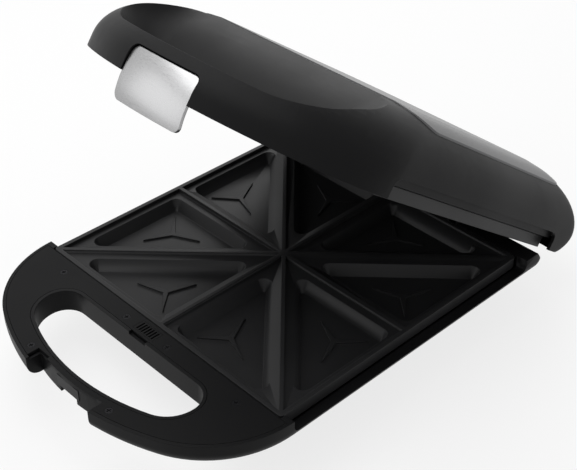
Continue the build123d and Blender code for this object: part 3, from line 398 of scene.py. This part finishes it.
def brush_group():
    """Brushed lines that run across: a normal, and a mask that varies from line to line."""
    name = "brushed_lines"
    if name in bpy.data.node_groups:
        return bpy.data.node_groups[name]
    tree, entry, leave = new_group(
        name,
        {
            "Line scale": 3000.0,
            "Along scale": 40.0,
            "Strength": 0.1,
            "Edge radius": 0.4 * MM,
        },
        {"Normal": "NodeSocketVector", "Lines": "NodeSocketFloat"},
    )
    place = add_node(tree, "ShaderNodeTexCoord")
    stretch = add_node(tree, "ShaderNodeCombineXYZ")
    scale = add_node(tree, "ShaderNodeVectorMath", operation="MULTIPLY")
    lines = add_node(tree, "ShaderNodeTexNoise", Scale=1.0, Detail=3.0, Roughness=0.7)
    edge = add_node(tree, "ShaderNodeBevel", samples=BEVEL_SAMPLES)
    bump = add_node(tree, "ShaderNodeBump", Distance=BRUSH_DEPTH)
    link = tree.links.new
    link(entry.outputs["Along scale"], stretch.inputs["X"])
    link(entry.outputs["Line scale"], stretch.inputs["Y"])
    link(entry.outputs["Line scale"], stretch.inputs["Z"])
    link(place.outputs["Object"], scale.inputs[0])
    link(stretch.outputs["Vector"], scale.inputs[1])
    link(scale.outputs["Vector"], lines.inputs["Vector"])
    link(entry.outputs["Edge radius"], edge.inputs["Radius"])
    link(entry.outputs["Strength"], bump.inputs["Strength"])
    link(lines.outputs["Fac"], bump.inputs["Height"])
    link(edge.outputs["Normal"], bump.inputs["Normal"])
    link(bump.outputs["Normal"], leave.inputs["Normal"])
    link(lines.outputs["Fac"], leave.inputs["Lines"])
    return tree


# Materials


def start_material(name):
    """A new material, its tree and its Principled shader."""
    material = bpy.data.materials.new(name)
    material.use_nodes = True
    tree = material.node_tree
    return material, tree, tree.nodes["Principled BSDF"]


def spread(tree, source, low, high):
    """A value ranging between two numbers as a mask goes from its darkest to its lightest."""
    reach = add_node(tree, "ShaderNodeMapRange")
    reach.inputs["From Min"].default_value = MASK_DARKEST
    reach.inputs["From Max"].default_value = MASK_LIGHTEST
    reach.inputs["To Min"].default_value = low
    reach.inputs["To Max"].default_value = high
    tree.links.new(source, reach.inputs["Value"])
    return reach.outputs["Result"]


def tint(tree, shader, mask, dark, light):
    """Let the base colour go from one colour to the other as the mask goes from zero to one."""
    blend = add_node(tree, "ShaderNodeMix", data_type="RGBA")
    blend.inputs["A"].default_value = (*dark, 1)
    blend.inputs["B"].default_value = (*light, 1)
    tree.links.new(mask, blend.inputs["Factor"])
    tree.links.new(blend.outputs["Result"], shader.inputs["Base Color"])


def add_group(tree, group_tree, values):
    """A group node whose inputs have these values."""
    group = add_node(tree, "ShaderNodeGroup", node_tree=group_tree)
    for title, value in values.items():
        group.inputs[title].default_value = value
    return group


def grained(name, colour, roughness, edge, grain_size, strength, lift=1.25, vary=0.06, **values):
    """Moulded, cast, sprayed or sheet surface with fine grain, drifting colour and soft edges."""
    material, tree, shader = start_material(name)
    group = add_group(
        tree,
        grain_group(),
        {"Edge radius": edge, "Grain scale": 1 / grain_size, "Grain strength": strength},
    )
    tint(tree, shader, group.outputs["Drift"], colour, [min(part * lift, 1) for part in colour])
    rough = spread(tree, group.outputs["Drift"], roughness - vary, roughness + vary)
    tree.links.new(rough, shader.inputs["Roughness"])
    tree.links.new(group.outputs["Normal"], shader.inputs["Normal"])
    for key, value in values.items():
        shader.inputs[key.replace("_", " ")].default_value = value
    return material


def brushed(name, colour, settings, roughness, strength, edge, contrast):
    """Brushed steel whose lines run across."""
    material, tree, shader = start_material(name)
    group = add_group(
        tree,
        brush_group(),
        {
            "Line scale": 1 / settings.brush_width,
            "Along scale": 1 / settings.brush_length,
            "Strength": strength,
            "Edge radius": edge,
        },
    )
    dark = [part * (1 - contrast) for part in colour]
    light = [min(part * (1 + contrast), 1) for part in colour]
    tint(tree, shader, spread(tree, group.outputs["Lines"], 0, 1), dark, light)
    low, high = roughness - BRUSH_VARY, roughness + BRUSH_VARY
    tree.links.new(spread(tree, group.outputs["Lines"], low, high), shader.inputs["Roughness"])
    tree.links.new(group.outputs["Normal"], shader.inputs["Normal"])
    shader.inputs["Metallic"].default_value = 1
    return material


def woven_sleeve(name):
    """Heat-proof sleeve on the wires: a fine crossed weave."""
    material, tree, shader = start_material(name)
    place = add_node(tree, "ShaderNodeTexCoord")
    wave = add_node(tree, "ShaderNodeTexWave", Scale=WEAVE_SCALE, Distortion=0.0)
    cross = add_node(
        tree, "ShaderNodeTexWave", Scale=WEAVE_SCALE, Distortion=0.0, bands_direction="DIAGONAL"
    )
    weave = add_node(tree, "ShaderNodeMath", operation="MAXIMUM")
    bump = add_node(tree, "ShaderNodeBump", Distance=WEAVE_DEPTH, Strength=0.6)
    link = tree.links.new
    link(place.outputs["Object"], wave.inputs["Vector"])
    link(place.outputs["Object"], cross.inputs["Vector"])
    link(wave.outputs["Fac"], weave.inputs[0])
    link(cross.outputs["Fac"], weave.inputs[1])
    link(weave.outputs["Value"], bump.inputs["Height"])
    link(bump.outputs["Normal"], shader.inputs["Normal"])
    tint(tree, shader, weave.outputs["Value"], SLEEVE_DARK, SLEEVE_LIGHT)
    shader.inputs["Roughness"].default_value = SLEEVE_ROUGHNESS
    return material


def set_finish(slot):
    """Values of a finish that settings move."""
    moulding, coating = bpy.context.scene.moulding, bpy.context.scene.coating
    if slot == "nonstick":
        return dict(
            colour=coating.colour,
            roughness=coating.roughness,
            edge=coating.edge_radius,
            grain_size=moulding.grain_size,
            strength=0.1,
            lift=1.5,
            Specular_IOR_Level=0.17,
        )
    values = dict(edge=moulding.edge_radius, grain_size=moulding.grain_size)
    if slot == "shell_plastic":
        values.update(
            colour=moulding.shell_colour,
            roughness=moulding.shell_roughness,
            strength=0.06,
            Specular_IOR_Level=0.09,
        )
    else:
        values.update(
            colour=moulding.cover_colour,
            roughness=moulding.cover_roughness,
            strength=0.12,
            Specular_IOR_Level=0.08,
        )
    return values


def finish_for(slot, part=""):
    """The material of a record slot, made the first time it is asked for."""
    # The frame brings in plain materials named by slot, so these have names of their own.
    key = f"{slot}_{part or 'finish'}"
    if key in bpy.data.materials:
        return bpy.data.materials[key]
    steel = bpy.context.scene.steel
    if slot == "wire_sleeve":
        return woven_sleeve(key)
    if part == "latch_plate":
        return brushed(
            key,
            steel.latch_colour,
            steel,
            roughness=0.3,
            strength=0.12,
            edge=0.6 * MM,
            contrast=0.08,
        )
    # The panel is the latch's brushed steel with a darker colour, which is painted shade
    if slot == "brushed_steel":
        return brushed(
            key,
            steel.panel_colour_with_painted_shade,
            steel,
            roughness=0.34,
            strength=0.14,
            edge=0.5 * MM,
            contrast=0.12,
        )
    return grained(key, **(FINISHES.get(slot) or set_finish(slot)))


# Geometry


def dress(node, part="", crease=CREASE_TURN):
    """Add a merged, smoothly shaded copy of a node, finished and standing for it."""
    source = frame["nodes"][node]
    mesh = bpy.data.meshes.new(f"{node}_skin")
    form = bmesh.new()
    form.from_mesh(source.data)
    bmesh.ops.remove_doubles(form, verts=form.verts, dist=MERGE_GAP)
    bmesh.ops.dissolve_limit(form, angle_limit=FLAT_TURN, verts=form.verts, edges=form.edges)
    form.to_mesh(mesh)
    form.free()
    mesh.polygons.foreach_set("use_smooth", [True] * len(mesh.polygons))
    mesh.set_sharp_from_angle(angle=crease)
    mesh.materials.clear()
    mesh.materials.append(finish_for(SLOT_OF_NODE[node], part))
    piece = bpy.data.objects.new(f"{node}_skin", mesh)
    bpy.context.scene.collection.objects.link(piece)
    even = piece.modifiers.new("even_shading", "WEIGHTED_NORMAL")
    even.keep_sharp = True
    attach(piece, BODY_OF_NODE[node])
    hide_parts(node)


def socket_id(tree, title):
    """Identifier of a modifier input, looked up by its title."""
    return next(item.identifier for item in tree.interface.items_tree if item.name == title)


def coil_tree():
    """Geometry tree of a coil spring that lies along X."""
    tree = bpy.data.node_groups.new("coil_spring", "GeometryNodeTree")
    for title, kind in (
        ("Length", "NodeSocketFloat"),
        ("Radius", "NodeSocketFloat"),
        ("Wire radius", "NodeSocketFloat"),
        ("Turns", "NodeSocketFloat"),
        ("Steps", "NodeSocketInt"),
        ("Material", "NodeSocketMaterial"),
        ("Middle", "NodeSocketVector"),
    ):
        tree.interface.new_socket(title, in_out="INPUT", socket_type=kind)
    tree.interface.new_socket("Geometry", in_out="OUTPUT", socket_type="NodeSocketGeometry")
    entry = tree.nodes.new("NodeGroupInput")
    leave = tree.nodes.new("NodeGroupOutput")
    spiral = add_node(tree, "GeometryNodeCurveSpiral")
    turn = add_node(tree, "GeometryNodeTransform", Rotation=(0, math.pi / 2, 0))
    wire = add_node(tree, "GeometryNodeCurvePrimitiveCircle", Resolution=WIRE_SIDES)
    sweep = tree.nodes.new("GeometryNodeCurveToMesh")
    sweep.inputs["Fill Caps"].default_value = True
    realize = tree.nodes.new("GeometryNodeRealizeInstances")
    paint = tree.nodes.new("GeometryNodeSetMaterial")
    # The spiral rises from its first turn, so it is moved back by half its length.
    centre = add_node(tree, "ShaderNodeMath", operation="MULTIPLY")
    centre.inputs[1].default_value = -1 / 2
    shift = tree.nodes.new("ShaderNodeCombineXYZ")
    place = add_node(tree, "ShaderNodeVectorMath", operation="ADD")
    link = tree.links.new
    link(entry.outputs["Steps"], spiral.inputs["Resolution"])
    link(entry.outputs["Turns"], spiral.inputs["Rotations"])
    link(entry.outputs["Radius"], spiral.inputs["Start Radius"])
    link(entry.outputs["Radius"], spiral.inputs["End Radius"])
    link(entry.outputs["Length"], spiral.inputs["Height"])
    link(entry.outputs["Length"], centre.inputs[0])
    link(centre.outputs["Value"], shift.inputs["X"])
    link(shift.outputs["Vector"], place.inputs[0])
    link(entry.outputs["Middle"], place.inputs[1])
    link(place.outputs["Vector"], turn.inputs["Translation"])
    link(spiral.outputs["Curve"], turn.inputs["Geometry"])
    link(entry.outputs["Wire radius"], wire.inputs["Radius"])
    link(turn.outputs["Geometry"], sweep.inputs["Curve"])
    link(wire.outputs["Curve"], sweep.inputs["Profile Curve"])
    link(sweep.outputs["Mesh"], realize.inputs["Geometry"])
    link(realize.outputs["Geometry"], paint.inputs["Geometry"])
    link(entry.outputs["Material"], paint.inputs["Material"])
    link(paint.outputs["Geometry"], leave.inputs["Geometry"])
    return tree


def baked(name, tree, values):
    """The mesh that a geometry tree gives, as a plain piece."""
    holder = bpy.data.objects.new(f"{name}_source", bpy.data.meshes.new(f"{name}_source"))
    bpy.context.scene.collection.objects.link(holder)
    modifier = holder.modifiers.new(name, "NODES")
    modifier.node_group = tree
    for title, value in values.items():
        modifier[socket_id(tree, title)] = value
    bpy.context.view_layer.update()
    ready = holder.evaluated_get(bpy.context.evaluated_depsgraph_get())
    mesh = bpy.data.meshes.new_from_object(ready)
    bpy.data.objects.remove(holder)
    piece = bpy.data.objects.new(name, mesh)
    bpy.context.scene.collection.objects.link(piece)
    return piece


class SANDWICH_OT_base(bpy.types.Operator):
    """Dress the base: shell, covers, catch, feet and gland"""

    bl_idname = "sandwich.base"
    bl_label = "Base"

    def execute(self, context):
        for node in (
            "base_shell",
            "deck_cover",
            "deck_vent",
            "latch_catch",
            "rubber_feet",
            "cord_gland",
        ):
            dress(node)
        return {"FINISHED"}


class SANDWICH_OT_plates(bpy.types.Operator):
    """Dress the cooking plates and what hangs on them"""

    bl_idname = "sandwich.plates"
    bl_label = "Cooking plates"

    def execute(self, context):
        for half in ("lower", "upper"):
            for kind in ("plate", "heater", "reflector", "plate_screws"):
                dress(f"{half}_{kind}")
        for node in ("thermostat", "thermal_fuse"):
            dress(node)
        return {"FINISHED"}


class SANDWICH_OT_lid(bpy.types.Operator):
    """Dress the lid: shell, nose cover and steel panel"""

    bl_idname = "sandwich.lid"
    bl_label = "Lid"

    def execute(self, context):
        dress("lid_shell", crease=DOME_CREASE_TURN)
        dress("nose_cover")
        dress("top_panel")
        return {"FINISHED"}


class SANDWICH_OT_latch(bpy.types.Operator):
    """Dress the latch and wind its spring"""

    bl_idname = "sandwich.latch"
    bl_label = "Latch"

    def execute(self, context):
        dress("latch_plate", part="latch_plate")
        dress("latch_carrier")
        dress("latch_pin")
        spring = context.scene.spring
        low, high = (Vector(corner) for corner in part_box("latch_spring"))
        size = high - low
        wire = spring.wire_radius
        coil = baked(
            "latch_spring_coil",
            coil_tree(),
            {
                "Length": size.x - 2 * wire,
                "Radius": size.y / 2 - wire,
                "Wire radius": wire,
                "Turns": spring.turns,
                "Steps": spring.steps,
                "Material": finish_for(SLOT_OF_NODE["latch_spring"]),
                "Middle": (low + high) / 2,
            },
        )
        coil.data.polygons.foreach_set("use_smooth", [True] * len(coil.data.polygons))
        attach(coil, BODY_OF_NODE["latch_spring"])
        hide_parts("latch_spring")
        return {"FINISHED"}


class SANDWICH_OT_hardware(bpy.types.Operator):
    """Dress the hinge, the screws and the wiring"""

    bl_idname = "sandwich.hardware"
    bl_label = "Hinge, screws and wiring"

    def execute(self, context):
        for node in (
            "hinge_brackets",
            "hinge_arms",
            "hinge_pins",
            "hinge_washers",
            "arm_screws",
            "bracket_screws",
            "deck_screws",
            "nose_cover_screws",
            "terminal_block",
            "base_wiring",
            "lid_wiring",
            "wire_clips",
        ):
            dress(node)
        return {"FINISHED"}


# Stage


def lamp(name, power, size, place, aim):
    """Hang a soft rectangular lamp at a place, turned towards a point."""
    light = bpy.data.lights.new(name, "AREA")
    light.energy = power
    light.shape = "RECTANGLE"
    light.size, light.size_y = size
    holder = bpy.data.objects.new(name, light)
    bpy.context.scene.collection.objects.link(holder)
    holder.location = place
    holder.rotation_euler = (Vector(aim) - Vector(place)).to_track_quat("-Z", "Y").to_euler()


def seen_ray(tree):
    """One where a ray comes straight, mirrored or refracted from the camera, and else zero."""
    path = add_node(tree, "ShaderNodeLightPath")
    either = add_node(tree, "ShaderNodeMath", operation="MAXIMUM")
    any_of = add_node(tree, "ShaderNodeMath", operation="MAXIMUM")
    tree.links.new(path.outputs["Is Camera Ray"], either.inputs[0])
    tree.links.new(path.outputs["Is Glossy Ray"], either.inputs[1])
    tree.links.new(either.outputs["Value"], any_of.inputs[0])
    tree.links.new(path.outputs["Is Transmission Ray"], any_of.inputs[1])
    return any_of.outputs["Value"]


def mix_shaders(tree, factor, first, second, end):
    """Send a mix of two shaders to the surface input of the node named here."""
    blend = add_node(tree, "ShaderNodeMixShader")
    tree.links.new(factor, blend.inputs[0])
    tree.links.new(first, blend.inputs[1])
    tree.links.new(second, blend.inputs[2])
    tree.links.new(blend.outputs["Shader"], tree.nodes[end].inputs["Surface"])


class SANDWICH_OT_stage(bpy.types.Operator):
    """Lay the floor, hang the lamps and set the camera"""

    bl_idname = "sandwich.stage"
    bl_label = "Floor, lamps and camera"

    def execute(self, context):
        settings = context.scene.stage
        self.floor(context, settings)
        self.world(context, settings)
        middle = (0, 0, PARTING_HEIGHT)
        lamp("key_lamp", settings.key_power, KEY_SIZE, KEY_PLACE, middle)
        lamp("front_lamp", settings.front_power, FRONT_SIZE, FRONT_PLACE, FRONT_AIM)
        lamp("back_lamp", settings.back_power, BACK_SIZE, BACK_PLACE, middle)
        self.camera(context)
        context.scene.view_settings.view_transform = "Standard"
        return {"FINISHED"}

    def floor(self, context, settings):
        """A pale floor that shows mostly as the white backdrop, with the object's soft shadow."""
        mesh = bpy.data.meshes.new("floor")
        sides = ((-1, -1), (1, -1), (1, 1), (-1, 1))
        corners = [(x * FLOOR_REACH, y * FLOOR_REACH, 0) for x, y in sides]
        mesh.from_pydata(corners, [], [(0, 1, 2, 3)])
        floor = bpy.data.objects.new("floor", mesh)
        context.scene.collection.objects.link(floor)
        material, tree, shader = start_material("pale_floor")
        shader.inputs["Base Color"].default_value = FLOOR_COLOUR
        shader.inputs["Roughness"].default_value = FLOOR_ROUGHNESS
        shader.inputs["Specular IOR Level"].default_value = 0.0
        glow = add_node(tree, "ShaderNodeEmission")
        glow.inputs["Color"].default_value = WHITE
        share = add_node(tree, "ShaderNodeMath", operation="MULTIPLY")
        share.inputs[1].default_value = 1 - settings.floor_show
        tree.links.new(seen_ray(tree), share.inputs[0])
        own, white = shader.outputs["BSDF"], glow.outputs["Emission"]
        mix_shaders(tree, share.outputs["Value"], own, white, "Material Output")
        mesh.materials.append(material)

    def world(self, context, settings):
        """Even grey light all round, seen as white behind the object and in its metal."""
        world = bpy.data.worlds.new("studio")
        world.use_nodes = True
        tree = world.node_tree
        even = tree.nodes["Background"]
        even.inputs["Color"].default_value = WHITE
        even.inputs["Strength"].default_value = settings.fill_level
        white = add_node(tree, "ShaderNodeBackground")
        white.inputs["Color"].default_value = WHITE
        grey_light, white_light = even.outputs["Background"], white.outputs["Background"]
        mix_shaders(tree, seen_ray(tree), grey_light, white_light, "World Output")
        context.scene.world = world

    def camera(self, context):
        """The photograph's camera, placed from the front edge of the lower plate."""
        turn = math.radians(CAMERA_AZIMUTH)
        lift = math.radians(CAMERA_ELEVATION)
        roll = math.radians(CAMERA_ROLL)
        flat = math.cos(lift)
        back = Vector((math.sin(turn) * flat, -math.cos(turn) * flat, math.sin(lift)))
        level_right = Vector((math.cos(turn), math.sin(turn), 0))
        level_up = back.cross(level_right)
        right = math.cos(roll) * level_right + math.sin(roll) * level_up
        up = back.cross(right)
        along_right, along_up, along_back = CAMERA_OFFSET
        start = Vector((0, PLATE_FRONT, PARTING_HEIGHT))
        place = start + along_right * right + along_up * up + along_back * back
        axes = Matrix((right, up, back)).transposed().to_4x4()
        data = bpy.data.cameras.new("photo_camera")
        data.sensor_width = SENSOR_WIDTH
        data.sensor_fit = "HORIZONTAL"
        data.lens = PHOTO_FOCAL * data.sensor_width / PHOTO_WIDTH
        data.shift_x = (PHOTO_WIDTH / 2 - PHOTO_CENTRE[0]) / PHOTO_WIDTH
        data.shift_y = (PHOTO_CENTRE[1] - PHOTO_HEIGHT / 2) / PHOTO_WIDTH
        data.clip_start = NEAR_CLIP
        camera = bpy.data.objects.new("photo_camera", data)
        context.scene.collection.objects.link(camera)
        camera.matrix_world = Matrix.Translation(place) @ axes
        context.scene.camera = camera


OPERATORS = (
    SANDWICH_OT_base,
    SANDWICH_OT_plates,
    SANDWICH_OT_lid,
    SANDWICH_OT_latch,
    SANDWICH_OT_hardware,
    SANDWICH_OT_stage,
)


class SANDWICH_PT_panel(bpy.types.Panel):
    """Sidebar panel with the pieces and their settings"""

    bl_idname = "SANDWICH_PT_panel"
    bl_label = "Sandwich maker"
    bl_space_type = "VIEW_3D"
    bl_region_type = "UI"
    bl_category = "Sandwich maker"

    def draw(self, context):
        layout = self.layout
        for operator in OPERATORS:
            layout.operator(operator.bl_idname)
        for name, kind in SETTINGS.items():
            column = layout.column()
            for key in kind.__annotations__:
                column.prop(getattr(context.scene, name), key)


def register():
    """Register the settings, the operators and the panel."""
    for name, kind in SETTINGS.items():
        bpy.utils.register_class(kind)
        setattr(bpy.types.Scene, name, PointerProperty(type=kind))
    for kind in (*OPERATORS, SANDWICH_PT_panel):
        bpy.utils.register_class(kind)


def unregister():
    """Take the panel, the operators and the settings away again."""
    for kind in (SANDWICH_PT_panel, *reversed(OPERATORS)):
        bpy.utils.unregister_class(kind)
    for name, kind in reversed(SETTINGS.items()):
        delattr(bpy.types.Scene, name)
        bpy.utils.unregister_class(kind)


def main():
    """Make every piece and the stage."""
    register()
    bpy.ops.sandwich.base()
    bpy.ops.sandwich.plates()
    bpy.ops.sandwich.lid()
    bpy.ops.sandwich.latch()
    bpy.ops.sandwich.hardware()
    bpy.ops.sandwich.stage()


if __name__ == "__main__":
    main()
